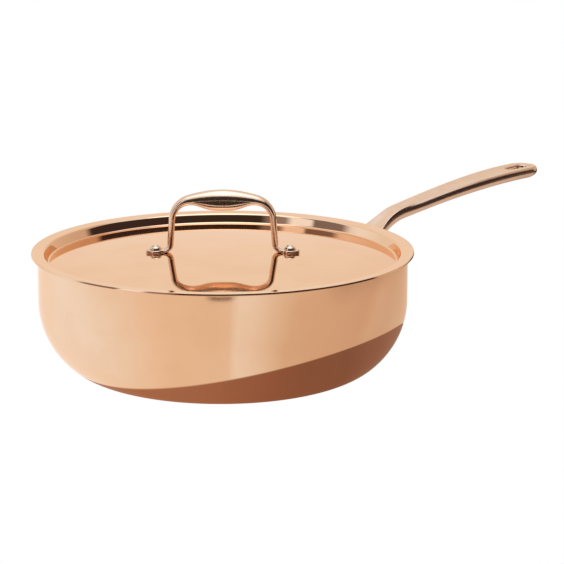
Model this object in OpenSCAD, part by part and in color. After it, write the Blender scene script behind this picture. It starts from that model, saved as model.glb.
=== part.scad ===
// Lidded copper saute pan, in millimetres.
// The flat base stands on z = 0, the axis of the pan is Z, and the long handle points along +X.
// The lid drops loosely into the rim and carries its own loop handle.

/* [Pan] */
// Outside radius of the upright wall
pan_r = 132.5; // [130:0.5:140]
// Height of the rim above the base
pan_h = 87.3; // [80:0.1:87.6]
// Radius of the curve that ends the upright wall
side_r = 58.4; // [50:0.1:64]
// Radius of the tighter curve that runs into the base
heel_r = 43.5; // [30:0.5:46]
// Angle at which the side curve hands over to the heel curve
heel_angle = 46.6; // [35:0.1:60]
// Thickness of the copper of the pan
copper_t = 1.5; // [1:0.1:2.5]
// Thickness of the steel lining of the pan
steel_t = 0.5; // [0.3:0.1:1]

/* [Lid] */
// Outside radius of the rolled edge
lid_r = 137; // [136:0.5:142]
// Height of the crown of the lid above the base of the pan
crown_z = 87.9; // [87.5:0.1:90]
// Radius of curvature of the shallow dome
dome_r = 1300; // [1000:10:1600]
// Radius at which the dome runs into the gutter
dome_edge = 124; // [120:0.1:124.4]
// Radius of the gutter's hollow
gutter_r = 1.5; // [1.3:0.1:2.4]
// Slope of the inner wall between gutter and flange
wall_angle = 70; // [60:1:75]
// Straight length of that wall
wall_len = 4.8; // [4.5:0.1:6]
// Radius of the corner from wall to flange
corner_r = 2.3; // [1.8:0.1:2.6]
// Rise of the flange towards its edge, in degrees
flange_rise = 2.5; // [0:0.5:3]
// Radius of the rolled edge
edge_r = 0.8; // [0.6:0.1:1]
// Thickness of the copper of the lid
lid_copper_t = 0.9; // [0.6:0.1:1.2]
// Thickness of the steel lining of the lid
lid_steel_t = 0.3; // [0.2:0.1:0.4]

/* [Loop handle] */
// Turn of the lid and its loop from the line of the long handle
lid_turn = -43.5; // [-180:0.5:180]
// Distance from the lid's axis to the middle of a leg at its foot
leg_x = 37.5; // [32:0.1:38]
// Lean of each leg towards the axis at the top
leg_lean = 1.3; // [0:0.1:3]
// Height of the leg's straight top end above the crown
leg_top = 23; // [18:0.1:28]
// Half thickness of a leg, seen from the front
leg_half = 2.3; // [2:0.1:3]
// Half width of a leg, seen from the side
leg_half_w = 4.8; // [4:0.1:5.4]
// Radius of the corners between legs and grip
shoulder_r = 13.4; // [10:0.1:15]
// Height of the middle of the grip over its shoulders
grip_rise = 1.2; // [0:0.1:3]
// Half width of the grip at its middle
grip_half = 7.2; // [6:0.1:10]
// Rounding of the grip above its front edge
grip_top = 7.4; // [5:0.1:9]
// Depth of the belly under the grip
grip_belly = 7.4; // [3:0.1:8]
// How far the belly swells beyond the grip's edge, as a part of its half width
grip_swell = 0.6; // [0:0.05:0.8]
// Distance from the lid's axis to a foot's rivet
foot_x = 48; // [45:0.5:50]
// Thickness of a foot
foot_t = 2.4; // [2:0.1:3]

/* [Long handle] */
// Distance from the pan's axis to the end of the handle
handle_end = 333; // [325:1:350]
// Height of the handle's top face at its end
handle_end_z = 108.4; // [104:0.1:112]
// Width at the neck
neck_w = 13.4; // [12:0.1:16]
// Width at the grip's widest place
handle_w = 22.6; // [19:0.1:26]
// Depth from the top face to the underside
handle_t = 10; // [8:0.1:12]
// Hollow of the top face
handle_dish = 0.7; // [0:0.1:1.2]
// Lean of the grip's flanks under the edges of its top face
flank_tilt = 34; // [10:1:40]
// Width of the hanging slot
slot_w = 9; // [7:0.5:10]
// Length of the hanging slot
slot_len = 22; // [18:1:26]
// Distance from the handle's end to the slot
slot_gap = 6; // [5:0.5:12]
// Thickness of the bracket on the wall
bracket_t = 3.4; // [2.5:0.1:4]

/* [Rivets] */
// Radius of the shank of a pan rivet
rivet_r = 2.8; // [2:0.1:3]
// Radius of the head inside the pan
rivet_head_r = 5.6; // [4:0.1:6]
// Height of the head inside the pan
rivet_head_h = 1.8; // [1:0.1:2.5]
// Radius of the formed end on the bracket
rivet_tail_r = 4.6; // [4:0.1:5.5]
// Radius of the shank of a lid rivet
lid_rivet_r = 1.9; // [1.5:0.1:2.2]
// Radius of the domed head of a lid rivet
lid_rivet_head_r = 4.3; // [3:0.1:4.5]
// Height of the domed head of a lid rivet
lid_rivet_head_h = 3; // [2.4:0.1:3.5]
// Radius of the dimple in that head
dimple_r = 2.8; // [1.8:0.1:3]
// Depth of the dimple
dimple_depth = 1.6; // [0.8:0.1:2]

/* [Hidden] */

arc_steps = 12;
turn_fn = 120;
copper = "#e0a27c";
steel = "#c9c6c2";
bronze = "#d9b899";

// Centres of the two arcs of the pan's side
heel_x = pan_r - side_r + (side_r - heel_r) * cos(heel_angle);
side_z = heel_r + (side_r - heel_r) * sin(heel_angle);
rim_round = 0.6;
wall_t = copper_t + steel_t;
over_pan = pan_h + 20;

// Places of the pan rivets: half spacing of the upper pair, and both heights
rivet_pair_y = 13.5;
rivet_upper_z = pan_h - 12.3;
rivet_lower_z = pan_h - 35.8;
bracket_corner_r = 7.6;
rivet_tail_h = 2.2;
lid_rivet_tail_h = 1.3;
dimple_draft = 0.3;
// Overlap of rivet parts that are joined, and a depth that passes through any wall
sink = 0.6;
through = 20;

// Control points of the handle's top face, as [distance, height]
neck_start = [134, pan_h - 17.8];
neck_end = [182, 95.2];
neck_bend = [neck_start, [147, pan_h - 10.3], [163, 92.5], neck_end];
grip_bend = [neck_end, [225, 102.5], [284, 109.4], [handle_end, handle_end_z]];
// Share of the grip's path before the stations that crowd together at its end
grip_even = 0.9;

// Width where the handle meets its bracket, and the distances over which it narrows and widens
root_w = 27;
root_start = 134;
root_stop = 170;
swell_start = 182;
swell_stop = 312;
tip_half = 0.6;

// The depth grows where the neck slopes and shrinks to a part of itself round the end
slope_depth = 2.4;
slope_start = 150;
slope_stop = 185;
neck_tilt = 12;
tilt_stop = 205;
nose_len = 12;
nose_depth = 0.5;

// Lid profile: slopes of the surface where its stretches meet
dome_slope = -asin(dome_edge / dome_r);
dome_edge_z = crown_z - dome_r + sqrt(dome_r * dome_r - dome_edge * dome_edge);
gutter_c = [dome_edge, dome_edge_z] + gutter_r * up(dome_slope);
wall_foot = gutter_c - gutter_r * up(wall_angle);
wall_head = wall_foot + wall_len * along(wall_angle);
corner_c = wall_head - corner_r * up(wall_angle);
flange_start = corner_c + corner_r * up(flange_rise);
flange_end_r = lid_r - edge_r;
flange_end_z = flange_start[1] + (flange_end_r - flange_start[0]) * tan(flange_rise);
roll_z = flange_end_z - edge_r + 0.15;
lining_end_r = flange_end_r - edge_r - 0.3;
lid_t = lid_copper_t + lid_steel_t;

under_lid = crown_z - through;

// Loop handle: heights of its parts
loop_z = crown_z + leg_top;
foot_bend = 4.5;
leg_foot_z = dome_z(leg_x + foot_bend) + foot_t / 2 + foot_bend;
ring_points = 28;
// Half width and the two depths of the section where shoulder and grip meet
shoulder_half_w = 5.6;
shoulder_top = 5.2;
shoulder_belly = 2.6;
// Squareness of the sections of foot, leg and grip
foot_square = 0.25;
leg_square = 0.42;
grip_square = 0.5;
bend_square = 0.6;
belly_square = 0.5;
grip_shoulder = leg_x - leg_lean - shoulder_r;

function along(a) = [cos(a), sin(a)];
function up(a) = [-sin(a), cos(a)];
function arc(c, r, a0, a1, n = arc_steps, first = 0) =
    [for (i = [first:n]) c + r * along(a0 + (a1 - a0) * i / n)];
function backwards(list) = [for (i = [len(list) - 1:-1:0]) list[i]];
function bezier(p, t) = p[0] * pow(1 - t, 3) + 3 * p[1] * t * pow(1 - t, 2)
    + 3 * p[2] * t * t * (1 - t) + p[3] * pow(t, 3);
function smooth(a, b, x) = let (t = min(1, max(0, (x - a) / (b - a)))) t * t * (3 - 2 * t);
function mix(a, b, t) = a + (b - a) * t;

// Half section of the pan's surface, t inside the outer one
function pan_curve(t) = concat([[0, t]],
    arc([heel_x, heel_r], heel_r - t, -90, -heel_angle),
    arc([pan_r - side_r, side_z], side_r - t, -heel_angle, 0, arc_steps, 1));

// Half section of the lid's surface, t under the upper one
function lid_curve(t, end_r) = concat(
    arc([0, crown_z - dome_r], dome_r - t, 90, 90 + dome_slope),
    arc(gutter_c, gutter_r + t, dome_slope - 90, wall_angle - 90, arc_steps, 1),
    arc(corner_c, corner_r - t, wall_angle + 90, flange_rise + 90),
    [[end_r, flange_start[1] + (end_r - flange_start[0]) * tan(flange_rise) - t / cos(flange_rise)]]);

function dome_z(x) = crown_z - dome_r + sqrt(dome_r * dome_r - x * x);

// Solid through a list of closed rings with equal numbers of points
module loft(rings) {
    n = len(rings[0]);
    m = len(rings);
    sides = [for (i = [0:m - 2], j = [0:n - 1])
        let (a = i * n + j, b = i * n + (j + 1) % n)
        each [[a, b, b + n], [a, b + n, a + n]]];
    caps = [[for (j = [n - 1:-1:0]) j], [for (j = [0:n - 1]) (m - 1) * n + j]];
    polyhedron([for (ring = rings) each ring], concat(sides, caps), convexity = 8);
}

module pan_outer_solid() {
    rotate_extrude($fn = turn_fn)
        polygon(concat(pan_curve(0), [[pan_r, over_pan], [0, over_pan]]));
}

module pan_inner_solid() {
    rotate_extrude($fn = turn_fn)
        polygon(concat(pan_curve(wall_t), [[pan_r - wall_t, over_pan], [0, over_pan]]));
}

// Places a child along the line of a pan rivet, with +Z pointing out of the wall
module at_rivet(y, z) {
    rotate([0, 0, asin(y / pan_r)]) translate([pan_r, 0, z]) rotate([0, 90, 0]) children();
}

module rivet_holes() {
    for (y = [-rivet_pair_y, rivet_pair_y])
        at_rivet(y, rivet_upper_z) rivet_shank(-through / 2, through);
    at_rivet(0, rivet_lower_z) rivet_shank(-through / 2, through);
}

module rivet_shank(start, length) {
    translate([0, 0, start]) cylinder(r = rivet_r, h = length, $fn = 48);
}

module pan_copper_shell() {
    color(copper) difference() {
        rotate_extrude($fn = turn_fn) polygon(concat(
            pan_curve(0),
            arc([pan_r - rim_round, pan_h - rim_round], rim_round, 0, 90, 5),
            [[pan_r - copper_t, pan_h]],
            backwards(pan_curve(copper_t))));
        rivet_holes();
    }
}

module pan_steel_lining() {
    color(steel) difference() {
        rotate_extrude($fn = turn_fn) polygon(concat(
            pan_curve(copper_t),
            [[pan_r - copper_t, pan_h], [pan_r - wall_t, pan_h]],
            backwards(pan_curve(wall_t))));
        rivet_holes();
    }
}

// Part of full size that is left at x on a rounded nose of the given length
function nose_part(x, nose) =
    let (past = (x - handle_end + nose) / nose)
    past > 0 ? sqrt(max(0, 1 - past * past)) : 1;

// Half width of the handle at distance x from the pan's axis
function handle_half(x) =
    let (root = mix(root_w, neck_w, smooth(root_start, root_stop, x)) / 2,
         body = mix(neck_w, handle_w, smooth(swell_start, swell_stop, x)) / 2)
    max(tip_half, (x < root_stop ? root : body) * nose_part(x, handle_w / 2));

// Depth of the section, measured upright
function handle_depth(x) = handle_t * mix(nose_depth, 1, nose_part(x, nose_len))
    + slope_depth * (1 - smooth(slope_start, slope_stop, x));

// Ring round the handle: hollowed top face, and a belly whose flanks first lean outwards
function handle_ring(x, z) =
    let (h = handle_half(x), d = handle_depth(x), hollow = handle_dish * min(1, h / 6),
         tilt = mix(neck_tilt, flank_tilt, smooth(slope_start, tilt_stop, x)),
         lean = atan2(tan(tilt) * d, h), wide = h / cos(lean), deep = d / (1 + sin(lean)),
         top = [for (i = [0:8]) let (u = -1 + i / 4) [x, u * h, z - hollow * pow(1 - u * u, 2)]],
         under = [for (i = [1:15]) let (a = -lean + (180 + 2 * lean) * i / 16)
             [x, wide * cos(a), z - deep * (sin(lean) + sin(a))]])
    concat(top, under);

function handle_path() = concat(
    [for (i = [0:15]) bezier(neck_bend, i / 16)],
    [for (i = [0:24]) bezier(grip_bend, i / 24 * grip_even)],
    [for (a = [15:15:90]) bezier(grip_bend, mix(grip_even, 1, sin(a)))]);

// Rounded triangle through the three rivets, in the plane of the bracket
module bracket_outline() {
    a = atan2(rivet_pair_y, rivet_upper_z - rivet_lower_z);
    polygon(concat(
        arc([rivet_pair_y, rivet_upper_z], bracket_corner_r, 90, -a),
        arc([0, rivet_lower_z], bracket_corner_r, -a, a - 180),
        arc([-rivet_pair_y, rivet_upper_z], bracket_corner_r, a - 180, -270)));
}

module bracket() {
    difference() {
        intersection() {
            translate([pan_r - through, 0, 0])
                rotate([90, 0, 90]) linear_extrude(2 * through) bracket_outline();
            cylinder(r = pan_r + bracket_t, h = pan_h, $fn = turn_fn);
        }
        pan_outer_solid();
    }
}

module hanging_slot() {
    near_x = handle_end - slot_gap - slot_len + slot_w / 2;
    far_x = handle_end - slot_gap - slot_w / 2;
    translate([0, 0, handle_end_z - 2 * through]) {
        for (x = [near_x, far_x])
            translate([x, 0, 0]) cylinder(r = slot_w / 2, h = 4 * through, $fn = 48);
        translate([near_x, -slot_w / 2, 0]) cube([far_x - near_x, slot_w, 4 * through]);
    }
}

module pan_handle() {
    color(bronze) difference() {
        union() {
            bracket();
            loft([for (p = handle_path()) handle_ring(p[0], p[1])]);
        }
        rivet_holes();
        hanging_slot();
    }
}

// Rivet through wall and bracket: a low head inside the pan, a domed end on the bracket
module pan_rivet(y, z) {
    color(steel) union() {
        difference() {
            at_rivet(y, z) {
                dome_head(rivet_tail_r, bracket_t, rivet_tail_h);
                mirror([0, 0, 1]) dome_head(rivet_head_r, wall_t, rivet_head_h);
            }
            difference() {
                cylinder(r = pan_r + bracket_t, h = pan_h, $fn = turn_fn);
                pan_inner_solid();
            }
        }
        at_rivet(y, z) rivet_shank(-wall_t - sink, wall_t + bracket_t + 2 * sink);
    }
}

// Low dome of radius r and height h that stands on a disc, its foot sunk a little
module dome_head(r, base, h) {
    ball = (r * r + h * h) / (2 * h);
    half = asin(r / ball);
    rotate_extrude($fn = 64) polygon(concat(
        [[0, base - sink], [r, base - sink]],
        arc([0, base + h - ball], ball, 90 - half, 90, 8)));
}

module handle_rivet_upper_left() { pan_rivet(rivet_pair_y, rivet_upper_z); }
module handle_rivet_upper_right() { pan_rivet(-rivet_pair_y, rivet_upper_z); }
module handle_rivet_lower() { pan_rivet(0, rivet_lower_z); }

// Everything under the lid's upper surface
module lid_top_solid() {
    rotate_extrude($fn = turn_fn)
        polygon(concat(lid_curve(0, flange_end_r), [[flange_end_r, under_lid], [0, under_lid]]));
}

module under_lid_solid() {
    rotate_extrude($fn = turn_fn) polygon(concat(
        lid_curve(lid_t, flange_end_r), [[flange_end_r, under_lid], [0, under_lid]]));
}

// Places a child upright on the dome at a foot of the loop, with +Z out of the lid
module at_foot(side) {
    rotate([0, 0, lid_turn]) translate([side * foot_x, 0, dome_z(foot_x)])
        rotate([0, side * asin(foot_x / dome_r), 0]) children();
}

module lid_rivet_holes() {
    for (side = [-1, 1])
        at_foot(side) translate([0, 0, -through / 2]) cylinder(r = lid_rivet_r, h = through, $fn = 48);
}

module lid_copper_shell() {
    color(copper) difference() {
        union() {
            rotate_extrude($fn = turn_fn) polygon(concat(
                lid_curve(0, flange_end_r), backwards(lid_curve(lid_copper_t, flange_end_r))));
            rotate_extrude($fn = turn_fn)
                translate([flange_end_r, roll_z]) circle(r = edge_r, $fn = 32);
        }
        lid_rivet_holes();
    }
}

module lid_steel_lining() {
    color(steel) difference() {
        rotate_extrude($fn = turn_fn) polygon(concat(
            lid_curve(lid_copper_t, lining_end_r),
            backwards(lid_curve(lid_t, lining_end_r))));
        lid_rivet_holes();
    }
}

// Half width of a foot's tongue, seen from above: leg, narrow neck, round pad and blunt tip
foot_reach = 7;
foot_widths = [[-8.5, 4.6], [-7, 3.6], [-5.5, 3.1], [-4.2, 3.6], [-2.5, 4.9],
               [0, 5.5], [2.5, 4.9], [4, 3.7], [5.2, 2.9], [6.3, 2.1], [foot_reach, 1.1]];
heel_half_w = foot_widths[0][1];

// Stations of half the loop: x, z, half width, outer and inner depth, outer and inner squareness
// and swell of the inner side.
// Squareness 0.5 is an ellipse, less is boxier and 1 is a parabola with a sharp edge.
function foot_stations() = [for (i = [0:14])
    let (x = mix(foot_x + foot_reach, leg_x + foot_bend, i / 14))
    [x, dome_z(x) + foot_t / 2, lookup(x - foot_x, foot_widths),
     foot_t / 2, foot_t / 2 + 0.5, foot_square, foot_square, 0]];
function bend_stations() = [for (i = [1:6])
    let (t = i / 6, a = -90 - 90 * t, k = mix(foot_t / 2, leg_half, t),
         square = mix(foot_square, leg_square, t))
    [leg_x + foot_bend + foot_bend * cos(a), leg_foot_z + foot_bend * sin(a),
     mix(heel_half_w, leg_half_w, t), k, k, square, square, 0]];
function leg_stations() = [for (i = [1:4])
    [leg_x - leg_lean * i / 5, mix(leg_foot_z, loop_z, i / 5),
     leg_half_w, leg_half, leg_half, leg_square, leg_square, 0]];
function shoulder_stations() = [for (i = [0:9])
    let (t = i / 9)
    [grip_shoulder + shoulder_r * cos(90 * t), loop_z + shoulder_r * sin(90 * t),
     mix(leg_half_w, shoulder_half_w, t * t), mix(leg_half, shoulder_top, t * t),
     mix(leg_half, shoulder_belly, t), mix(leg_square, grip_square, t),
     mix(leg_square, bend_square, t), 0]];
function grip_stations() = [for (i = [1:9])
    let (t = i / 9, wide = sin(90 * t))
    [grip_shoulder * (1 - t), loop_z + shoulder_r + grip_rise * (1 - pow(1 - t, 2)),
     mix(shoulder_half_w, grip_half, wide), mix(shoulder_top, grip_top, wide),
     mix(shoulder_belly, grip_belly, smooth(0, 1, wide)),
     grip_square, mix(bend_square, belly_square, wide), grip_swell * wide]];
function half_loop() = concat(foot_stations(), bend_stations(), leg_stations(),
                              shoulder_stations(), grip_stations());
function mirrored(s) = [-s[0], s[1], s[2], s[3], s[4], s[5], s[6], s[7]];
function loop_stations() = let (half = half_loop())
    concat(half, [for (i = [len(half) - 2:-1:0]) mirrored(half[i])]);

function bulge(v, depth, square) = sign(v) * depth * pow(abs(v), 2 * square);
function loop_ring(s, dir) =
    let (d = dir / norm(dir), n = [d[1], -d[0]])
    [for (i = [0:ring_points - 1])
        let (a = 360 * i / ring_points, v = sin(a),
             k = v > 0 ? bulge(v, s[3], s[5]) : bulge(v, s[4], s[6]),
             y = s[2] * cos(a) * (1 + s[7] * max(0, -v)))
        [s[0] + k * n[0], y, s[1] + k * n[1]]];

module loop_body() {
    s = loop_stations();
    last = len(s) - 1;
    loft([for (i = [0:last])
        let (a = s[max(0, i - 1)], b = s[min(last, i + 1)])
        loop_ring(s[i], [b[0] - a[0], b[1] - a[1]])]);
}

module lid_handle() {
    color(bronze) difference() {
        rotate([0, 0, lid_turn]) loop_body();
        lid_top_solid();
        lid_rivet_holes();
    }
}

// Rivet through foot and lid: a dimpled round head on the foot and a low formed end under the lid
module lid_rivet(side) {
    color(steel) difference() {
        union() {
            at_foot(side) {
                translate([0, 0, -lid_t - sink])
                    cylinder(r = lid_rivet_r, h = lid_t + foot_t + 2 * sink, $fn = 48);
                translate([0, 0, foot_t]) rotate_extrude($fn = 64) polygon(concat(
                    [[0, 0], [lid_rivet_head_r, 0]],
                    [for (a = [10:10:90]) [lid_rivet_head_r * cos(a), lid_rivet_head_h * sin(a)]]));
            }
            intersection() {
                at_foot(side) mirror([0, 0, 1]) dome_head(lid_rivet_head_r, lid_t, lid_rivet_tail_h);
                under_lid_solid();
            }
        }
        at_foot(side) translate([0, 0, foot_t + lid_rivet_head_h - dimple_depth])
            cylinder(r1 = dimple_r - dimple_draft, r2 = dimple_r, h = dimple_depth, $fn = 48);
    }
}

module lid_rivet_left() { lid_rivet(-1); }
module lid_rivet_right() { lid_rivet(1); }

pan_copper_shell();
pan_steel_lining();
pan_handle();
handle_rivet_upper_left();
handle_rivet_upper_right();
handle_rivet_lower();
lid_copper_shell();
lid_steel_lining();
lid_handle();
lid_rivet_left();
lid_rivet_right();
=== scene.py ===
import bpy
import bmesh
from math import acos, asin, atan2, cos, degrees, pi, radians, sin, sqrt, tan
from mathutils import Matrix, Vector


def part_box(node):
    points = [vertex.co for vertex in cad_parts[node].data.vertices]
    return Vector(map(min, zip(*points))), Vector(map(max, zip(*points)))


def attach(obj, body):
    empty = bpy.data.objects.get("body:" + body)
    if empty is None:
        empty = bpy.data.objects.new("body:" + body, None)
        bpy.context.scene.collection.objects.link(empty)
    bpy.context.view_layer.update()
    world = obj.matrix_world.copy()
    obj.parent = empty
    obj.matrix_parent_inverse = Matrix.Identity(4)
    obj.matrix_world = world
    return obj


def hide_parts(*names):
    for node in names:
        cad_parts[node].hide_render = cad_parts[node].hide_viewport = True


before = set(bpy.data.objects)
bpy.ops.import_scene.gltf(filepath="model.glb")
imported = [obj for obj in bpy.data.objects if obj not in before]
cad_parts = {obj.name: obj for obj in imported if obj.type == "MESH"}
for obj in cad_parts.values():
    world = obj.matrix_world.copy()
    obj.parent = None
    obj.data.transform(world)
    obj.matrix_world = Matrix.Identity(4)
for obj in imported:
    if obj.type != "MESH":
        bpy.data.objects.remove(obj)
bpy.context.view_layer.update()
mm = 0.001

# every length below is in millimetres and becomes metres when a mesh is made
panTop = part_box("pan_copper_shell")[1] / mm
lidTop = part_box("lid_copper_shell")[1] / mm
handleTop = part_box("pan_handle")[1] / mm

print("frame loaded:", sorted(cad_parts))

camera = {
    "turn": -43.5,            # degrees round the pan, the same as the lid's
    "pitch": 13.324,
    "distance": 1.86887,
    "aimAcross": 0.042447,    # the middle of the picture, beside and above the pan's base
    "aimUp": 0.065269,
    "lens": 165.96,
}


def alongView(across, away, height=0):
    # a point given as seen from the camera: to the right, away and up, in metres
    turn = radians(camera["turn"])
    return Vector((across * cos(turn) - away * sin(turn), across * sin(turn) + away * cos(turn), height))


def makeCamera():
    shot = bpy.data.objects.new("camera", bpy.data.cameras.new("camera"))
    bpy.context.scene.collection.objects.link(shot)
    aim = alongView(camera["aimAcross"], 0, camera["aimUp"])
    pitch = radians(camera["pitch"])
    back = alongView(0, -cos(pitch), sin(pitch))
    shot.location = aim + back * camera["distance"]
    shot.rotation_mode = "QUATERNION"
    shot.rotation_quaternion = (-back).to_track_quat("-Z", "Y")
    shot.data.lens = camera["lens"]
    shot.data.clip_start = 0.05
    bpy.context.scene.camera = shot
    bpy.context.scene.view_settings.view_transform = "Standard"


makeCamera()
print("camera placed")


def addNode(tree, kind, inputs=None, **settings):
    made = tree.nodes.new(kind)
    for key, value in settings.items():
        setattr(made, key, value)
    for key, value in (inputs or {}).items():
        if isinstance(value, bpy.types.NodeSocket):
            tree.links.new(value, made.inputs[key])
        else:
            made.inputs[key].default_value = value
    return made


def calc(tree, operation, a, b=0.0, c=0.0):
    return addNode(tree, "ShaderNodeMath", {0: a, 1: b, 2: c}, operation=operation).outputs[0]


def lengthOf(tree, x, y):
    squares = [calc(tree, "MULTIPLY", part, part) for part in (x, y)]
    return calc(tree, "SQRT", calc(tree, "ADD", *squares))


def mapped(tree, value, fromLow, fromHigh, toLow=0.0, toHigh=1.0, eased=True):
    limits = {"Value": value, "From Min": fromLow, "From Max": fromHigh, "To Min": toLow, "To Max": toHigh}
    kind = "SMOOTHSTEP" if eased else "LINEAR"
    node = addNode(tree, "ShaderNodeMapRange", limits, interpolation_type=kind)
    return node.outputs["Result"]


def mixColors(tree, factor, first, second):
    node = addNode(tree, "ShaderNodeMix", data_type="RGBA")
    for socket, value in ((node.inputs[0], factor), (node.inputs[6], first), (node.inputs[7], second)):
        if isinstance(value, bpy.types.NodeSocket):
            tree.links.new(value, socket)
        else:
            socket.default_value = value
    return node.outputs[2]


def ramp(tree, value, stops):
    node = addNode(tree, "ShaderNodeValToRGB", {"Fac": value})
    band = node.color_ramp
    while len(band.elements) < len(stops):
        band.elements.new(0.5)
    for element, (position, color) in zip(band.elements, stops):
        element.position = position
        element.color = (*color, 1)
    return node.outputs["Color"]


def newGroup(name, inputs, outputs):
    group = bpy.data.node_groups.new(name, "ShaderNodeTree")
    for label, value in inputs.items():
        socket = group.interface.new_socket(label, in_out="INPUT", socket_type="NodeSocketFloat")
        socket.default_value = value
    for label in outputs:
        group.interface.new_socket(label, in_out="OUTPUT", socket_type="NodeSocketFloat")
    return group, group.nodes.new("NodeGroupInput").outputs, group.nodes.new("NodeGroupOutput").inputs


def placeGroup(tree, group, **values):
    node = tree.nodes.new("ShaderNodeGroup")
    node.node_tree = group
    for key, value in values.items():
        socket = node.inputs[key]
        if isinstance(value, bpy.types.NodeSocket):
            tree.links.new(value, socket)
        else:
            socket.default_value = value
    return node.outputs


studio = {
    "white": (1.0, 1.0, 1.0),
    # painted glow of the floor round the pan, seen only in reflections, from its left side over the front
    # to its right side, in degrees
    "floorGlow": [(-180, (1.02, 1.05, 1.06)), (-58, (1.0, 1.0, 1.0)), (-50, (0.98, 0.96, 0.92)),
                  (-40, (0.96, 0.90, 0.83)), (-32, (0.94, 0.84, 0.73)), (-24, (0.93, 0.76, 0.62)),
                  (-16, (0.89, 0.71, 0.55)), (0, (0.88, 0.72, 0.57)), (3, (0.88, 0.73, 0.59)),
                  (5, (0.94, 0.88, 0.81)), (9, (0.93, 0.85, 0.77)), (16, (0.86, 0.73, 0.60)),
                  (24, (0.77, 0.58, 0.43)), (34, (0.75, 0.54, 0.39)), (48, (0.72, 0.52, 0.38)),
                  (56, (0.71, 0.51, 0.38)), (64, (0.74, 0.57, 0.44)), (74, (0.72, 0.57, 0.46)),
                  (180, (0.90, 0.86, 0.80))],
    # tint of the round shadow under the pan, by the same angle
    "shadowTint": [(-180, (0.55, 0.42, 0.34)), (-50, (0.47, 0.28, 0.20)), (-30, (0.43, 0.22, 0.14)),
                   (0, (0.38, 0.18, 0.11)), (16, (0.33, 0.145, 0.09)), (30, (0.28, 0.13, 0.08)),
                   (52, (0.26, 0.13, 0.085)), (66, (0.30, 0.165, 0.12)), (180, (0.5, 0.38, 0.32))],
    "shadowAcross": 0.045,
    "shadowAway": 0.012,
    "shadowRadius": 0.151,
    "shadowSoft": 0.0015,
    # brightness of the room by azimuth on the camera's side, from its left to its right
    "roomBand": [(-180, (0.95, 0.91, 0.85)), (-130, (0.90, 0.82, 0.72)), (-104, (1.0, 1.0, 0.98)),
                 (-96, (0.95, 0.92, 0.90)), (-88, (0.26, 0.20, 0.18)), (-66, (0.24, 0.18, 0.16)),
                 (-63, (1.03, 1.03, 1.03)), (-49, (1.03, 1.03, 1.03)), (-44, (0.32, 0.27, 0.25)),
                 (-32, (0.28, 0.22, 0.20)), (-26, (0.04, 0.03, 0.02)), (101, (0.05, 0.03, 0.03)),
                 (107, (0.68, 0.51, 0.38)), (120, (0.70, 0.53, 0.40)), (150, (0.80, 0.66, 0.52)),
                 (180, (0.95, 0.91, 0.85))],
    "farDark": (0.06, 0.04, 0.03),   # painted darkness on the distant floor on the right, mirrored in the long handle's flank
    "farReach": (0.38, 0.68),
    "farAngle": (0.9, 1.3),          # radians to the right over which the distant floor darkens
    "mirrorReach": (0.10, 0.48),     # distances over which the share below falls
    "mirrorTurn": (0.98, 0.54),
    "darkPatchCenter": -0.482,            # a dark patch painted on the floor in front of the pan, seen only in reflections
    "darkPatchHalf": (0.066, 0.0075),
    "darkPatchFadeAcross": (0.4, 1.25),
    "darkPatchFadeDeep": (0.4, 1.4),
    "darkPatchTint": (0.17, 0.10, 0.075),
    "lampEnergy": 12.0,
    "lampSize": 2.0,
    "lampHeight": 2.6,
    "roomTop": (47, 52),             # elevations over which the dark band gives way to the bright ceiling
    "roomFoot": (-2, 0.5),
    "ceiling": (0.98, 0.97, 0.95),
    "underRoom": (0.92, 0.86, 0.78),
    "floorSize": 4.0,
    "floorDrop": 0.0002,
}


def byDegrees(stops):
    return [((angle + 180) / 360, color) for angle, color in stops]


def azimuthOf(tree, x, y):
    # angle round the vertical in radians: 0 is towards the camera, and it grows to the right
    return calc(tree, "ARCTAN2", x, calc(tree, "MULTIPLY", y, -1.0))


def shareOfTurn(tree, angle):
    # the same angle from 0 to 1, as a colour ramp takes it
    return calc(tree, "MULTIPLY_ADD", angle, 0.5 / pi, 0.5)


def makeWorld():
    world = bpy.data.worlds.new("studio")
    bpy.context.scene.world = world
    world.use_nodes = True
    tree = world.node_tree
    tree.nodes.clear()
    direction = addNode(tree, "ShaderNodeTexCoord").outputs["Generated"]
    facing = {"Vector": direction, "Angle": -radians(camera["turn"])}
    turned = addNode(tree, "ShaderNodeVectorRotate", facing, rotation_type="Z_AXIS").outputs[0]
    parts = addNode(tree, "ShaderNodeSeparateXYZ", {0: turned}).outputs
    azimuth = shareOfTurn(tree, azimuthOf(tree, parts[0], parts[1]))
    elevation = calc(tree, "MULTIPLY", calc(tree, "ARCSINE", parts[2]), 180 / pi)
    room = ramp(tree, azimuth, byDegrees(studio["roomBand"]))
    above = mapped(tree, elevation, *studio["roomTop"])
    below = mapped(tree, elevation, *studio["roomFoot"], 1.0, 0.0)
    light = mixColors(tree, above, room, (*studio["ceiling"], 1))
    light = mixColors(tree, below, light, (*studio["underRoom"], 1))
    seen = addNode(tree, "ShaderNodeLightPath").outputs["Is Camera Ray"]
    shown = mixColors(tree, seen, light, (*studio["white"], 1))
    back = addNode(tree, "ShaderNodeBackground", {"Color": shown})
    addNode(tree, "ShaderNodeOutputWorld", {"Surface": back.outputs[0]})


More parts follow.
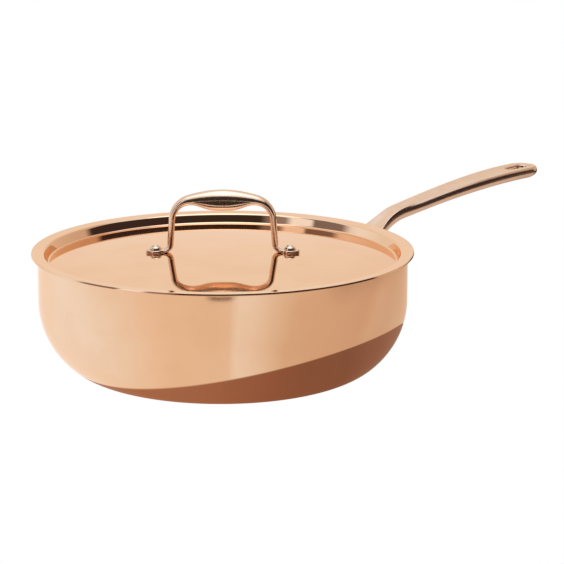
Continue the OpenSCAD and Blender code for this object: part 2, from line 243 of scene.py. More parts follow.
def makeFloor():
    size = studio["floorSize"]
    mesh = bpy.data.meshes.new("floor")
    corners = [(-size, -size, 0), (size, -size, 0), (size, size, 0), (-size, size, 0)]
    mesh.from_pydata(corners, [], [(0, 1, 2, 3)])
    floor = bpy.data.objects.new("floor", mesh)
    bpy.context.scene.collection.objects.link(floor)
    floor.rotation_euler.z = radians(camera["turn"])
    floor.location.z = -studio["floorDrop"]
    # the floor glows: plain white to the camera, and in reflections a painted glow, the pan's painted
    # shadow and painted dark patches
    material = bpy.data.materials.new("glowingFloorPaintedShadow")
    material.use_nodes = True
    tree = material.node_tree
    tree.nodes.clear()
    place = addNode(tree, "ShaderNodeTexCoord").outputs["Object"]
    spot = addNode(tree, "ShaderNodeSeparateXYZ", {0: place}).outputs
    reach = lengthOf(tree, spot[0], spot[1])
    azimuth = azimuthOf(tree, spot[0], spot[1])
    # far from the pan a mirrored ray has turned about twice as far round as the wall it left
    turning = mapped(tree, reach, *studio["mirrorReach"], *studio["mirrorTurn"], eased=False)
    around = shareOfTurn(tree, calc(tree, "MULTIPLY", azimuth, turning))
    glow = ramp(tree, around, byDegrees(studio["floorGlow"]))
    shade = ramp(tree, around, byDegrees(studio["shadowTint"]))
    # painted shadow: the pan's round cast shadow, laid into the floor's reflected colour
    side = calc(tree, "SUBTRACT", spot[0], studio["shadowAcross"])
    depth = calc(tree, "SUBTRACT", spot[1], studio["shadowAway"])
    gap = lengthOf(tree, side, depth)
    edge, soft = studio["shadowRadius"], studio["shadowSoft"]
    lit = mapped(tree, gap, edge - soft, edge + soft)
    mirrored = mixColors(tree, lit, shade, glow)
    # painted dark patch in front of the pan, darkening the reflected floor
    wide, deep = studio["darkPatchHalf"]
    low, high = studio["darkPatchFadeAcross"]
    across = mapped(tree, calc(tree, "ABSOLUTE", spot[0]), wide * low, wide * high, 1.0, 0.0)
    low, high = studio["darkPatchFadeDeep"]
    forward = calc(tree, "ABSOLUTE", calc(tree, "SUBTRACT", spot[1], studio["darkPatchCenter"]))
    darkPatch = calc(tree, "MULTIPLY", across, mapped(tree, forward, deep * low, deep * high, 1.0, 0.0))
    mirrored = mixColors(tree, darkPatch, mirrored, (*studio["darkPatchTint"], 1))
    # painted darkness over the far floor on the right, seen only in reflections
    far = mapped(tree, reach, *studio["farReach"])
    right = mapped(tree, azimuth, *studio["farAngle"])
    mirrored = mixColors(tree, calc(tree, "MULTIPLY", far, right), mirrored, (*studio["farDark"], 1))
    seen = addNode(tree, "ShaderNodeLightPath").outputs["Is Camera Ray"]
    shown = mixColors(tree, seen, mirrored, (*studio["white"], 1))
    glowing = addNode(tree, "ShaderNodeEmission", {"Color": shown})
    addNode(tree, "ShaderNodeOutputMaterial", {"Surface": glowing.outputs[0]})
    mesh.materials.append(material)


def makeLamp():
    # broad soft box straight above, as bright as the ceiling it hangs under
    data = bpy.data.lights.new("softBox", "AREA")
    data.size = studio["lampSize"]
    data.energy = studio["lampEnergy"]
    lamp = bpy.data.objects.new("softBox", data)
    lamp.location.z = studio["lampHeight"]
    bpy.context.scene.collection.objects.link(lamp)


makeWorld()
makeFloor()
makeLamp()
print("studio ready")


def makePolish():
    # mirror polish: soft haze, fine hairlines and the faint turned rings left by spinning
    group, given, out = newGroup("polish",
                                 {"Roughness": 0.05, "Haze": 0.03, "Hairlines": 0.3, "Rings": 0.2},
                                 ["Roughness", "Height", "Cloud"])
    place = addNode(group, "ShaderNodeTexCoord").outputs["Object"]
    cloud = addNode(group, "ShaderNodeTexNoise",
                    {"Vector": place, "Scale": 22.0, "Detail": 5.0, "Roughness": 0.6})
    cloudy = mapped(group, cloud.outputs["Fac"], 0.35, 0.7)
    parts = addNode(group, "ShaderNodeSeparateXYZ", {0: place}).outputs
    radius = lengthOf(group, parts[0], parts[1])
    ringPlace = addNode(group, "ShaderNodeCombineXYZ", {"X": radius, "Z": parts[2]}).outputs[0]
    rings = addNode(group, "ShaderNodeTexNoise", {"Vector": ringPlace, "Scale": 1500.0, "Detail": 3.0})
    tilted = addNode(group, "ShaderNodeVectorRotate",
                     {"Vector": place, "Axis": (0.4, 0.6, 0.3), "Angle": 0.7}).outputs[0]
    stretched = addNode(group, "ShaderNodeVectorMath", {0: tilted, 1: (60.0, 1400.0, 900.0)},
                        operation="MULTIPLY").outputs[0]
    hairs = addNode(group, "ShaderNodeTexNoise", {"Vector": stretched, "Scale": 1.0, "Detail": 2.0})
    hairMask = mapped(group, hairs.outputs["Fac"], 0.62, 0.72)
    rough = calc(group, "MULTIPLY_ADD", cloudy, given["Haze"], given["Roughness"])
    rough = calc(group, "ADD", rough, calc(group, "MULTIPLY", hairMask, 0.04))
    height = calc(group, "ADD", calc(group, "MULTIPLY", hairMask, given["Hairlines"]),
                  calc(group, "MULTIPLY", rings.outputs["Fac"], given["Rings"]))
    group.links.new(rough, out["Roughness"])
    group.links.new(height, out["Height"])
    group.links.new(cloudy, out["Cloud"])
    return group


def makeGrain():
    # cast and ground metal: small pits, soft mottling and a brushed direction along X
    group, given, out = newGroup("castGrain", {"Size": 900.0, "Pits": 0.4, "Brush": 0.5},
                                 ["Height", "Mottle"])
    place = addNode(group, "ShaderNodeTexCoord").outputs["Object"]
    pits = addNode(group, "ShaderNodeTexNoise", {"Vector": place, "Scale": given["Size"], "Detail": 4.0})
    stretched = addNode(group, "ShaderNodeVectorMath", {0: place, 1: (90.0, 2600.0, 2600.0)},
                        operation="MULTIPLY").outputs[0]
    brush = addNode(group, "ShaderNodeTexNoise", {"Vector": stretched, "Scale": 1.0, "Detail": 2.0})
    mottle = addNode(group, "ShaderNodeTexNoise",
                     {"Vector": place, "Scale": 60.0, "Detail": 6.0, "Roughness": 0.65})
    height = calc(group, "ADD", calc(group, "MULTIPLY", pits.outputs["Fac"], given["Pits"]),
                  calc(group, "MULTIPLY", brush.outputs["Fac"], given["Brush"]))
    group.links.new(height, out["Height"])
    group.links.new(mapped(group, mottle.outputs["Fac"], 0.35, 0.68), out["Mottle"])
    return group


def makeTurnedBrush():
    # satin lining: fine circular brush lines about the pan's axis
    group, given, out = newGroup("turnedBrush", {"Lines": 2200.0, "Depth": 1.0}, ["Height", "Streak"])
    place = addNode(group, "ShaderNodeTexCoord").outputs["Object"]
    parts = addNode(group, "ShaderNodeSeparateXYZ", {0: place}).outputs
    radius = lengthOf(group, parts[0], parts[1])
    angle = calc(group, "ARCTAN2", parts[1], parts[0])
    around = addNode(group, "ShaderNodeCombineXYZ",
                     {"X": calc(group, "MULTIPLY", radius, given["Lines"]),
                      "Y": calc(group, "MULTIPLY", angle, 3.0),
                      "Z": calc(group, "MULTIPLY", parts[2], given["Lines"])}).outputs[0]
    lines = addNode(group, "ShaderNodeTexNoise",
                    {"Vector": around, "Scale": 1.0, "Detail": 4.0, "Roughness": 0.7})
    group.links.new(calc(group, "MULTIPLY", lines.outputs["Fac"], given["Depth"]), out["Height"])
    group.links.new(mapped(group, lines.outputs["Fac"], 0.3, 0.7), out["Streak"])
    return group


def makeWear():
    # bright rubbed edges, and the hollows that take painted shade
    group, given, out = newGroup("edgeWear", {"Low": 0.5, "High": 0.58}, ["Edge", "Hollow"])
    point = addNode(group, "ShaderNodeNewGeometry").outputs["Pointiness"]
    group.links.new(mapped(group, point, given["Low"], given["High"]), out["Edge"])
    group.links.new(mapped(group, point, 0.42, 0.49, 1.0, 0.0), out["Hollow"])
    return group


polishGroup, grainGroup, brushGroup, wearGroup = makePolish(), makeGrain(), makeTurnedBrush(), makeWear()


def newMetal(name, edgeTint):
    material = bpy.data.materials.new(name)
    material.use_nodes = True
    shader = material.node_tree.nodes["Principled BSDF"]
    shader.inputs["Metallic"].default_value = 1.0
    shader.inputs["Specular Tint"].default_value = (*edgeTint, 1)
    return material, material.node_tree, shader


def bumpInto(tree, shader, height, depth):
    bump = addNode(tree, "ShaderNodeBump", {"Height": height, "Strength": 1.0, "Distance": depth})
    tree.links.new(bump.outputs[0], shader.inputs["Normal"])


copperFinish = {
    "color": (0.880, 0.640, 0.470),
    "edgeTint": (1.0, 0.86, 0.75),
    "warm": (0.862, 0.600, 0.425),   # the faint redder clouds of handled copper
    "roughness": 0.035,
    "haze": 0.02,
    "hairlines": 0.3,
    "rings": 0.12,
    "depth": 0.0000006,
}
steelFinish = {
    "color": (0.70, 0.685, 0.66),
    "streak": (0.60, 0.585, 0.56),
    "roughness": 0.24,
    "depth": 0.000008,
}
bronzeFinish = {
    "color": (0.86, 0.66, 0.54),
    "mottle": (0.80, 0.60, 0.48),
    "worn": (0.90, 0.72, 0.60),
    "edgeTint": (0.91, 0.81, 0.72),
    "roughness": 0.15,
    "depth": 0.000003,
}
rivetFinish = {
    "color": (0.66, 0.56, 0.48),
    "dull": (0.50, 0.42, 0.36),
    "roughness": 0.10,
    "depth": 0.000003,
}


def polishedCopper():
    look = copperFinish
    material, tree, shader = newMetal("mirrorCopper", look["edgeTint"])
    polish = placeGroup(tree, polishGroup, Roughness=look["roughness"], Haze=look["haze"],
                        Hairlines=look["hairlines"], Rings=look["rings"])
    worn = placeGroup(tree, wearGroup, Low=0.52, High=0.60)
    color = mixColors(tree, polish["Cloud"], (*look["color"], 1), (*look["warm"], 1))
    color = mixColors(tree, worn["Edge"], color, (*look["color"], 1))
    tree.links.new(color, shader.inputs["Base Color"])
    tree.links.new(polish["Roughness"], shader.inputs["Roughness"])
    bumpInto(tree, shader, polish["Height"], look["depth"])
    return material


def liningSteel():
    look = steelFinish
    material, tree, shader = newMetal("satinLining", (1, 1, 1))
    brush = placeGroup(tree, brushGroup, Lines=2200.0, Depth=1.0)
    polish = placeGroup(tree, polishGroup, Roughness=look["roughness"], Haze=0.06, Hairlines=0.4, Rings=0.1)
    color = mixColors(tree, brush["Streak"], (*look["streak"], 1), (*look["color"], 1))
    tree.links.new(color, shader.inputs["Base Color"])
    rough = calc(tree, "MULTIPLY_ADD", brush["Streak"], 0.08, polish["Roughness"])
    tree.links.new(rough, shader.inputs["Roughness"])
    bumpInto(tree, shader, brush["Height"], look["depth"])
    return material


def castBronze():
    look = bronzeFinish
    material, tree, shader = newMetal("castBronze", look["edgeTint"])
    grain = placeGroup(tree, grainGroup, Size=700.0, Pits=0.35, Brush=0.4)
    polish = placeGroup(tree, polishGroup, Roughness=look["roughness"], Haze=0.05, Hairlines=0.4, Rings=0.0)
    worn = placeGroup(tree, wearGroup, Low=0.52, High=0.60)
    color = mixColors(tree, grain["Mottle"], (*look["mottle"], 1), (*look["color"], 1))
    color = mixColors(tree, worn["Edge"], color, (*look["worn"], 1))
    tree.links.new(color, shader.inputs["Base Color"])
    tree.links.new(polish["Roughness"], shader.inputs["Roughness"])
    bumpInto(tree, shader, grain["Height"], look["depth"])
    return material


def rivetSteel():
    look = rivetFinish
    material, tree, shader = newMetal("rivetSteel", (1, 1, 1))
    grain = placeGroup(tree, grainGroup, Size=900.0, Pits=0.5, Brush=0.2)
    worn = placeGroup(tree, wearGroup, Low=0.5, High=0.56)
    polish = placeGroup(tree, polishGroup, Roughness=look["roughness"], Haze=0.05, Hairlines=0.4, Rings=0.0)
    # painted shade: the rivets' hollows and dimples are coloured darker
    color = mixColors(tree, worn["Hollow"], (*look["color"], 1), (*look["dull"], 1))
    tree.links.new(color, shader.inputs["Base Color"])
    tree.links.new(polish["Roughness"], shader.inputs["Roughness"])
    bumpInto(tree, shader, grain["Height"], look["depth"])
    return material


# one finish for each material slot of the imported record
finishes = {"polished_copper": polishedCopper(), "lining_steel": liningSteel(),
            "cast_handle": castBronze(), "rivet_steel": rivetSteel()}
print("finishes ready")


def along(angle):
    return Vector((cos(radians(angle)), sin(radians(angle))))


def up(angle):
    return Vector((-sin(radians(angle)), cos(radians(angle))))


def arc(center, radius, start, stop, steps):
    return [Vector(center) + radius * along(start + (stop - start) * i / steps) for i in range(steps + 1)]


def blend(a, b, t):
    return a + (b - a) * t


def smooth(a, b, x):
    t = min(1, max(0, (x - a) / (b - a)))
    return t * t * (3 - 2 * t)


pan = {
    "radius": panTop.x,
    "height": panTop.z,
    "sideCurve": 58.4,        # radius of the curve that ends the upright wall
    "heelCurve": 43.5,        # tighter curve that runs into the flat base
    "heelAngle": 46.6,        # where one curve hands over to the other
    "copper": 1.5,
    "lining": 0.5,
    "rimRound": 0.6,
    "liningDrop": 0.05,       # how far the lining ends below the rim
    "liningRound": 0.2,
    "around": 288,            # segments of the turned meshes
}


def panCurve(inset):
    # half section of the pan, inset from its outer face
    side, heel, turn = pan["sideCurve"], pan["heelCurve"], pan["heelAngle"]
    heelX = pan["radius"] - side + (side - heel) * cos(radians(turn))
    sideZ = heel + (side - heel) * sin(radians(turn))
    base = [Vector((heelX * i / 24, inset)) for i in range(24)]
    return (base + arc((heelX, heel), heel - inset, -90, -turn, 40)
            + arc((pan["radius"] - side, sideZ), side - inset, -turn, 0, 40)[1:])


lid = {
    "radius": lidTop.x - 0.02,
    "crown": 87.9,            # height of the middle of the dome
    "domeCurve": 1300,
    "domeEdge": 124.0,
    "gutter": 1.5,
    "wallAngle": 70,
    "wallLength": 4.8,
    "corner": 2.3,
    "flangeRise": 2.5,
    "edge": 0.8,
    "edgeLift": 0.15,
    # small flat round the edge, in shares of its radius
    "edgeBevel": [(0.66, 0.68), (0.70, 0.62), (0.98, -0.46), (1.0, -0.54)],
    "copper": 0.9,
    "lining": 0.3,
    "liningGap": 0.3,
    "turn": -43.5,
    "around": 320,
}


def lidCurve(inset, endRadius):
    # half section of the lid, inset under its upper face: dome, gutter, upright wall and flange
    slope = -degrees(asin(lid["domeEdge"] / lid["domeCurve"]))
    domeCenter = Vector((0, lid["crown"] - lid["domeCurve"]))
    gutterCenter = domeCenter + lid["domeCurve"] * up(slope) + lid["gutter"] * up(slope)
    wallHead = (gutterCenter - lid["gutter"] * up(lid["wallAngle"])
                + lid["wallLength"] * along(lid["wallAngle"]))
    cornerCenter = wallHead - lid["corner"] * up(lid["wallAngle"])
    flange = cornerCenter + (lid["corner"] - inset) * up(lid["flangeRise"])
    rise = tan(radians(lid["flangeRise"]))
    rim = [Vector((x, flange.y + (x - flange.x) * rise))
           for x in [blend(flange.x, endRadius, i / 6) for i in range(1, 7)]]
    return (arc(domeCenter, lid["domeCurve"] - inset, 90, 90 + slope, 60)
            + arc(gutterCenter, lid["gutter"] + inset, slope - 90, lid["wallAngle"] - 90, 24)[1:]
            + arc(cornerCenter, lid["corner"] - inset, lid["wallAngle"] + 90, lid["flangeRise"] + 90, 20)
            + rim)


def domeHeight(x):
    return lid["crown"] - lid["domeCurve"] + sqrt(lid["domeCurve"] ** 2 - x * x)


def finishMesh(name, points, faces, body, slot, nodes, sharp=38):
    mesh = bpy.data.meshes.new(name)
    mesh.from_pydata([Vector(p) * mm for p in points], [], faces)
    mesh.validate()
    work = bmesh.new()
    work.from_mesh(mesh)
    bmesh.ops.recalc_face_normals(work, faces=work.faces)
    work.to_mesh(mesh)
    work.free()
    mesh.polygons.foreach_set("use_smooth", [True] * len(mesh.polygons))
    mesh.set_sharp_from_angle(angle=radians(sharp))
    piece = bpy.data.objects.new(name, mesh)
    bpy.context.scene.collection.objects.link(piece)
    piece.data.materials.append(finishes[slot])
    if body:
        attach(piece, body)
        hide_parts(*nodes)
    return piece


def turnOutline(outline, around):
    # spins a closed outline of (radius, height) about Z; points on the axis stay single
    points, rows = [], []
    for radius, height in outline:
        if radius < 1e-6:
            rows.append([len(points)] * around)
            points.append((0, 0, height))
        else:
            rows.append(list(range(len(points), len(points) + around)))
            points += [(radius * cos(2 * pi * j / around), radius * sin(2 * pi * j / around), height)
                       for j in range(around)]
    faces = []
    for first, second in zip(rows, rows[1:] + rows[:1]):
        if first[0] == first[1] and second[0] == second[1]:
            continue
        for j in range(around):
            k = (j + 1) % around
            corners = []
            for corner in (first[j], first[k], second[k], second[j]):
                if corner not in corners:
                    corners.append(corner)
            faces.append(corners)
    return points, faces


def loftRings(rings):
    # skin through rings with equal numbers of points, closed at both ends
    count = len(rings[0])
    points = [p for ring in rings for p in ring]
    faces = []
    for i in range(len(rings) - 1):
        for j in range(count):
            k = (j + 1) % count
            faces.append((i * count + j, i * count + k, (i + 1) * count + k, (i + 1) * count + j))
    last = (len(rings) - 1) * count
    faces.append(tuple(range(count - 1, -1, -1)))
    faces.append(tuple(range(last, last + count)))
    return points, faces


def cutWith(piece, cutter, operation="DIFFERENCE"):
    step = piece.modifiers.new("cut", "BOOLEAN")
    step.operation = operation
    step.solver = "EXACT"
    step.object = cutter
    bpy.context.view_layer.update()
    shaped = bpy.data.meshes.new_from_object(piece.evaluated_get(bpy.context.evaluated_depsgraph_get()))
    piece.modifiers.clear()
    piece.data = shaped
    bpy.data.objects.remove(cutter)


def makePan():
    r, h, thick, rim = pan["radius"], pan["height"], pan["copper"], pan["rimRound"]
    outer, inner = panCurve(0), panCurve(thick)
    wall = [Vector((r, blend(outer[-1].y, h - rim, i / 6))) for i in range(1, 6)]
    wall.append(Vector((r, h - rim - 0.1)))     # keeps the wall's shading flat up to the rim
    copper = outer + wall + arc((r - rim, h - rim), rim, 0, 90, 8) + [Vector((r - thick, h))] + inner[::-1]
    finishMesh("panCopper", *turnOutline(copper, pan["around"]), "pan", "polished_copper",
               ["pan_copper_shell"])
    total, soften, liningTop = thick + pan["lining"], pan["liningRound"], h - pan["liningDrop"]
    lip = arc((r - total + soften, liningTop - soften), soften, 90, 180, 4)
    steel = [Vector((r - thick, liningTop))] + lip + panCurve(total)[::-1] + inner
    finishMesh("panLining", *turnOutline(steel, pan["around"]), "pan", "lining_steel", ["pan_steel_lining"])


makePan()
print("pan made")


handle = {
    "end": handleTop.x,
    "endHeight": 108.4,
    "neckStart": (134, -17.8),     # second numbers of the neck's first two points are from the rim's height
    "neckLift": (147, -10.3),
    "neckFall": (163, 92.5),
    "neckEnd": (182, 95.2),
    "gripRise": (225, 102.5),
    "gripHigh": (284, 109.4),
    "rootWidth": 27,
    "rootEnd": 170,                # where the wide root has narrowed to the neck
    "rootDepth": 2.4,              # how much deeper the root is than the grip
    "neckWidth": 13.4,
    "width": 22.6,
    "widest": 312,
    "depth": 10,
    "dish": 0.7,
    "edgeRound": 0.35,
    "flankTilt": 34,               # degrees by which the flank leans out under the crisp edge
    "nose": 12,                    # length over which the handle thins towards its end
    "neckTilt": 12,
    "slotWidth": 9,
    "slotLength": 22,
    "slotGap": 6,
    "slotChamfer": 0.7,
    "bracket": 3.4,
    "bracketEdge": 1.6,
    "bracketCorner": 7.6,
    "rivetPair": 13.5,
    "rivetUpper": -12.3,
    "rivetLower": -35.8,
}


def bezier(points, t):
    a, b, c, d = [Vector(p) for p in points]
    return a * (1 - t) ** 3 + 3 * b * t * (1 - t) ** 2 + 3 * c * t * t * (1 - t) + d * t ** 3


def handlePath():
    h = pan["height"]
    (x0, z0), (x1, z1) = handle["neckStart"], handle["neckLift"]
    neck = [(x0, h + z0), (x1, h + z1), handle["neckFall"], handle["neckEnd"]]
    grip = [handle["neckEnd"], handle["gripRise"], handle["gripHigh"], (handle["end"], handle["endHeight"])]
    return ([bezier(neck, i / 48) for i in range(48)]
            + [bezier(grip, 0.9 * i / 72) for i in range(72)]
            + [bezier(grip, 0.9 + 0.1 * sin(radians(a))) for a in range(0, 91, 3)])


def handleHalf(x):
    nose = handle["end"] - handle["width"] / 2
    tip = sqrt(max(0, 1 - ((x - nose) / (handle["width"] / 2)) ** 2)) if x > nose else 1
    rootEnd = handle["rootEnd"]
    root = blend(handle["rootWidth"], handle["neckWidth"], smooth(handle["neckStart"][0], rootEnd, x)) / 2
    neckEnd = handle["neckEnd"][0]
    body = blend(handle["neckWidth"], handle["width"], smooth(neckEnd, handle["widest"], x)) / 2
    return max(0.5, (root if x < rootEnd else body) * tip)


def handleDepth(x):
    past = max(0, (x - handle["end"]) / handle["nose"] + 1)
    tip = sqrt(max(0, 1 - past * past))
    return handle["depth"] * blend(0.5, 1, tip) + handle["rootDepth"] * (1 - smooth(150, 185, x))


def handleRing(x, z):
    # hollowed top face, crisp rounded edges, then a full belly that starts leaning outwards
    half, depth = handleHalf(x), handleDepth(x)
    tilt = radians(blend(handle["neckTilt"], handle["flankTilt"], smooth(150, 205, x)))
    edge = min(handle["edgeRound"], half * 0.3)
    hollow = handle["dish"] * min(1, half / 6)
    flat = half - edge
    top = [(flat * u, z - hollow * (1 - u * u) ** 2) for u in [-1 + i / 10 for i in range(21)]]
    corner = [(flat + edge * sin(radians(a)), z - edge + edge * cos(radians(a))) for a in (22, 44)]
    side, foot = half - edge + edge * cos(tilt), z - edge + edge * sin(tilt)
    # belly: an ellipse that meets the edge with its own lean
    low = depth - (z - foot)
    start = atan2(tan(tilt) * low, side)
    wide = side / cos(start)
    deep = low / (1 + sin(start))
    middle = foot - deep * sin(start)
    belly = [(wide * cos(a), middle - deep * sin(a))
             for a in [-start + (pi + 2 * start) * i / 36 for i in range(37)]]
    ring = top + corner + belly + [(-y, height) for y, height in corner[::-1]]
    return [(x, y, height) for y, height in ring]


def slotCutter():
    # round-ended opening with a small chamfer that follows the top face
    far = handle["end"] - handle["slotGap"] - handle["slotWidth"] / 2
    near = handle["end"] - handle["slotGap"] - handle["slotLength"] + handle["slotWidth"] / 2
    path = handlePath()

    def topAt(x):
        before = max((p for p in path if p.x <= x), key=lambda p: p.x)
        after = min((p for p in path if p.x > x), key=lambda p: p.x)
        return blend(before.y, after.y, (x - before.x) / (after.x - before.x))

    def ring(grow, drop, fixed=None):
        r = handle["slotWidth"] / 2 + grow
        ends = [(far, a) for a in range(-90, 91, 10)] + [(near, a) for a in range(90, 271, 10)]
        points = [(cx + r * cos(radians(a)), r * sin(radians(a))) for cx, a in ends]
        return [(x, y, topAt(x) - handle["dish"] - drop if fixed is None else fixed) for x, y in points]

    bevel = handle["slotChamfer"]
    rings = [ring(0, 0, 80), ring(0, bevel), ring(bevel * 0.3, bevel * 0.35), ring(bevel, 0),
             ring(bevel * 1.6, -4)]
    return finishMesh("slotCutter", *loftRings(rings), None, "cast_handle", [])


def bracketOutline():
    r, pair = handle["bracketCorner"], handle["rivetPair"]
    high, low = pan["height"] + handle["rivetUpper"], pan["height"] + handle["rivetLower"]
    lean = degrees(atan2(pair, high - low))
    return (arc((pair, high), r, 90, -lean, 20)[1:] + arc((0, low), r, -lean, lean - 180, 14)
            + arc((-pair, high), r, lean - 180, -270, 20)[:-1])


def panRadiusAt(z):
    side = pan["sideCurve"]
    heelTurn = radians(pan["heelAngle"])
    sideZ = pan["heelCurve"] + (side - pan["heelCurve"]) * sin(heelTurn)
    return pan["radius"] - side + (sqrt(side ** 2 - (sideZ - z) ** 2) if z < sideZ else side)


def makeBracket():
    # pad that follows the wall, with a rounded edge all round
    outline = bracketOutline()
    middle = sum(outline, Vector((0, 0))) / len(outline)
    thick, edge = handle["bracket"], handle["bracketEdge"]
    steps = [(1, -0.4)]
    steps += [(1 - edge / 15 * (1 - cos(radians(a))), thick - edge + edge * sin(radians(a)))
              for a in (0, 15, 30, 45, 60, 75, 90)]
    steps += [(0.7, thick), (0.4, thick), (0.15, thick)]
    rings = []
    for size, out in steps:
        ring = []
        for p in outline:
            y, z = middle + (p - middle) * size
            base = panRadiusAt(z)
            reach = base + out if out < 0 else blend(base, pan["radius"] + thick, out / thick)
            turn = asin(y / pan["radius"])
            ring.append((reach * cos(turn), reach * sin(turn), z))
        rings.append(ring)
    return finishMesh("bracketPad", *loftRings(rings), None, "cast_handle", [])


def makeHandle():
    rings = [handleRing(p.x, p.y) for p in handlePath()]
    piece = finishMesh("longHandle", *loftRings(rings), "pan", "cast_handle", ["pan_handle"], sharp=50)
    cutWith(piece, makeBracket(), "UNION")
    cutWith(piece, slotCutter())
    piece.data.set_sharp_from_angle(angle=radians(50))


def spunRivet(name, outline, place, body, nodes):
    # turned rivet: its outline runs along its own axis, from the origin in the outward direction
    points, faces = turnOutline(outline, 40)
    origin, outward = Vector(place[0]), Vector(place[1]).normalized()
    turn = outward.to_track_quat("Z", "Y")
    return finishMesh(name, [origin + turn @ Vector(p) for p in points], faces, body, "rivet_steel", nodes)


def domedHead(radius, foot, height, steps=10):
    ball = (radius ** 2 + height ** 2) / (2 * height)
    half = degrees(asin(min(1, radius / ball)))
    return [Vector((radius, foot - 0.4))] + arc((0, foot + height - ball), ball, 90 - half, 90, steps)


panRivet = {
    "shank": 2.8,
    "insideRadius": 5.6,
    "insideHeight": 1.8,
    "outsideRadius": 4.6,
    "outsideHeight": 2.2,
}


def makePanRivets():
    wall = pan["copper"] + pan["lining"]
    outside = domedHead(panRivet["outsideRadius"], handle["bracket"], panRivet["outsideHeight"])
    tail = domedHead(panRivet["insideRadius"], wall, panRivet["insideHeight"])
    inside = [Vector((p.x, -p.y)) for p in tail]
    shank = panRivet["shank"]
    stem = [Vector((shank, 0.4 - wall)), Vector((shank, handle["bracket"] - 0.4))]
    outline = inside[::-1] + stem + outside
    pair = handle["rivetPair"]
    high, low = pan["height"] + handle["rivetUpper"], pan["height"] + handle["rivetLower"]
    spots = {"handle_rivet_upper_left": (pair, high), "handle_rivet_upper_right": (-pair, high),
             "handle_rivet_lower": (0, low)}
    for node, (y, z) in spots.items():
        turn = asin(y / pan["radius"])
        outward = Vector((cos(turn), sin(turn), 0))
        place = pan["radius"] * outward + Vector((0, 0, z))
        name = "rivet" + "".join(word.capitalize() for word in node.split("_")[2:])
        spunRivet(name, outline, (place, outward), "pan", [node])


makeHandle()
makePanRivets()
print("long handle made")


def makeLid():
    endRadius = lid["radius"] - lid["edge"]
    top, under = lidCurve(0, endRadius), lidCurve(lid["copper"], endRadius)
    edge, rollCenter = lid["edge"], Vector((endRadius, top[-1].y - lid["edge"] + lid["edgeLift"]))
    bevel = [rollCenter + edge * Vector(p) for p in lid["edgeBevel"]]
    roll = arc(rollCenter, edge, 80, 50, 4) + bevel + arc(rollCenter, edge, -50, -230, 14)
    copper = top[:-1] + roll + under[::-1]
    finishMesh("lidCopper", *turnOutline(copper, lid["around"]), "lid", "polished_copper",
               ["lid_copper_shell"])
    total, inEnd = lid["copper"] + lid["lining"], endRadius - lid["edge"] - lid["liningGap"]
    steel = lidCurve(lid["copper"], inEnd) + lidCurve(total, inEnd)[::-1]
    finishMesh("lidLining", *turnOutline(steel, lid["around"]), "lid", "lining_steel", ["lid_steel_lining"])


loop = {
    "legX": 37.5,
    "legLean": 1.3,
    "legTop": 23,
    "shoulder": 13.4,
    "rise": 1.2,
    "gripHalf": 7.2,
    "gripTop": 7.4,
    "gripBelly": 7.4,
    "gripSwell": 0.6,          # how far the belly swells beyond the grip's edge
    "legHalf": 2.3,
    "legHalfWidth": 4.8,
    "footX": 48,
    "foot": 2.4,
    "footBend": 4.5,
    "around": 64,
}
# half width of a foot's tongue: leg, narrow neck, round pad and blunt tip, outwards from its rivet
footWidths = [(-8.5, 4.6), (-7, 3.6), (-5.5, 3.1), (-4.2, 3.6), (-2.5, 4.9), (0, 5.5),
              (2.5, 4.9), (4, 3.7), (5.2, 2.9), (6.3, 2.1), (7, 1.1)]


def footHalf(x):
    # smooth curve through the tongue's half widths
    t = max(footWidths[0][0], min(footWidths[-1][0], x - loop["footX"]))
    index = max(i for i, (a, _) in enumerate(footWidths[:-1]) if a <= t)
    (a, wa), (b, wb) = footWidths[index], footWidths[index + 1]
    before = footWidths[max(0, index - 1)]
    after = footWidths[min(len(footWidths) - 1, index + 2)]
    slopeA, slopeB = (wb - before[1]) / (b - before[0]), (after[1] - wa) / (after[0] - a)
    u, span = (t - a) / (b - a), b - a
    return ((2 * u ** 3 - 3 * u * u + 1) * wa + (u ** 3 - 2 * u * u + u) * span * slopeA
            + (3 * u * u - 2 * u ** 3) * wb + (u ** 3 - u * u) * span * slopeB)


def loopStations():
    # from one foot's tip to mid grip: x, z, half width, outer and inner depth and squareness, swell inside
    legX, bend, half = loop["legX"], loop["footBend"], loop["foot"] / 2
    footZ = domeHeight(legX + bend) + half + bend
    loopZ = lid["crown"] + loop["legTop"]
    shoulder = legX - loop["legLean"] - loop["shoulder"]
    stations = []
    for i in range(43):
        x = blend(loop["footX"] + 7, legX + bend, i / 42)
        stations.append((x, domeHeight(x) + half, footHalf(x), half, half + 0.4, 0.25, 0.25, 0))
    for i in range(1, 13):
        a, k = radians(-90 - 90 * i / 12), blend(half, loop["legHalf"], i / 12)
        stations.append((legX + bend + bend * cos(a), footZ + bend * sin(a),
                         blend(4.6, loop["legHalfWidth"], i / 12), k, k, 0.4, 0.4, 0))
    for i in range(1, 11):
        stations.append((legX - loop["legLean"] * i / 11, blend(footZ, loopZ, i / 11),
                         loop["legHalfWidth"], loop["legHalf"], loop["legHalf"], 0.42, 0.42, 0))
    for i in range(31):
        t = i / 30
        turn = radians(90 * t)
        stations.append((shoulder + loop["shoulder"] * cos(turn), loopZ + loop["shoulder"] * sin(turn),
                         blend(loop["legHalfWidth"], 5.6, t * t), blend(loop["legHalf"], 5.2, t * t),
                         blend(loop["legHalf"], 2.6, t), blend(0.42, 0.5, t), blend(0.42, 0.6, t), 0))
    for i in range(1, 31):
        t = i / 30
        wide = sin(radians(90 * t))
        stations.append((shoulder * (1 - t), loopZ + loop["shoulder"] + loop["rise"] * (1 - (1 - t) ** 2),
                         blend(5.6, loop["gripHalf"], wide), blend(5.2, loop["gripTop"], wide),
                         blend(2.6, loop["gripBelly"], smooth(0, 1, wide)),
                         0.5, blend(0.6, 0.5, wide), loop["gripSwell"] * wide))
    return stations + [(-s[0], *s[1:]) for s in stations[-2::-1]]


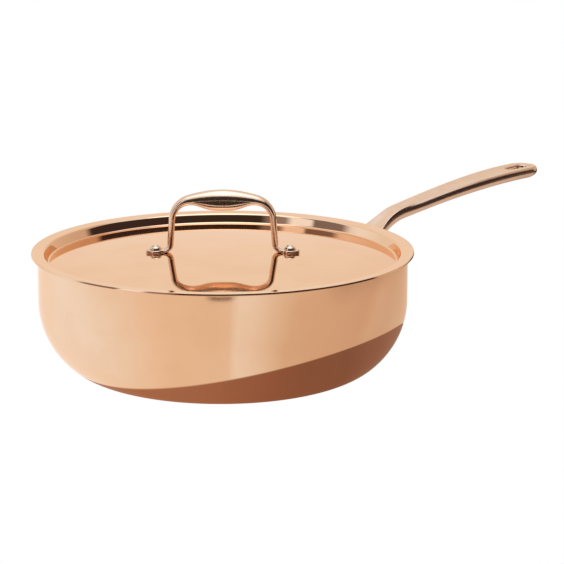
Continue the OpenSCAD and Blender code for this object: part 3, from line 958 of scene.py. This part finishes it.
def makeLoop():
    stations = loopStations()
    turn = radians(lid["turn"])
    rings = []
    for i, station in enumerate(stations):
        x, z, halfWidth, outer, inner, outSquare, inSquare, swell = station
        before, after = stations[max(0, i - 1)], stations[min(len(stations) - 1, i + 1)]
        run = Vector((after[0] - before[0], after[1] - before[1])).normalized()
        ring = []
        for j in range(loop["around"]):
            a = 2 * pi * j / loop["around"]
            v = sin(a)
            k = outer * abs(v) ** (2 * outSquare) if v > 0 else -inner * abs(v) ** (2 * inSquare)
            px, py = x + k * run.y, halfWidth * cos(a) * (1 + swell * max(0, -v))
            ring.append((px * cos(turn) - py * sin(turn), px * sin(turn) + py * cos(turn), z - k * run.x))
        rings.append(ring)
    finishMesh("lidLoop", *loftRings(rings), "lid", "cast_handle", ["lid_handle"], sharp=40)


lidRivet = {
    "shank": 1.9,
    "head": 4.3,
    "headHeight": 3.0,
    "tailHeight": 1.3,
    "dimple": 2.8,
    "dimpleDepth": 1.6,
}


def makeLidRivets():
    through, foot = lid["copper"] + lid["lining"], loop["foot"]
    radius, height, dimple = lidRivet["head"], lidRivet["headHeight"], lidRivet["dimple"]
    rim, floor = degrees(acos(dimple / radius)), foot + height - lidRivet["dimpleDepth"]
    head = [Vector((radius * cos(radians(a)), foot + height * sin(radians(a))))
            for a in [-10 + rim * i / 8 for i in range(8)] + [rim - 3, rim]]
    head += [Vector((dimple - 0.15, head[-1].y - 0.15)), Vector((dimple - 0.3, floor + 0.4)),
             Vector((dimple - 0.7, floor + 0.06)), Vector((0, floor))]
    tail = [Vector((p.x, -p.y)) for p in domedHead(radius, through, lidRivet["tailHeight"])]
    stem = [Vector((lidRivet["shank"], 0.2 - through)), Vector((lidRivet["shank"], foot - 0.6))]
    outline = tail[::-1] + stem + head
    lean = asin(loop["footX"] / lid["domeCurve"])
    turn = radians(lid["turn"])
    for side, node in ((-1, "lid_rivet_left"), (1, "lid_rivet_right")):
        across = side * loop["footX"]
        outward = Vector((side * sin(lean) * cos(turn), side * sin(lean) * sin(turn), cos(lean)))
        place = (across * cos(turn), across * sin(turn), domeHeight(loop["footX"]))
        spunRivet("lidRivet" + node.split("_")[2].capitalize(), outline, (place, outward), "lid", [node])


makeLid()
makeLoop()
makeLidRivets()
print("lid made")
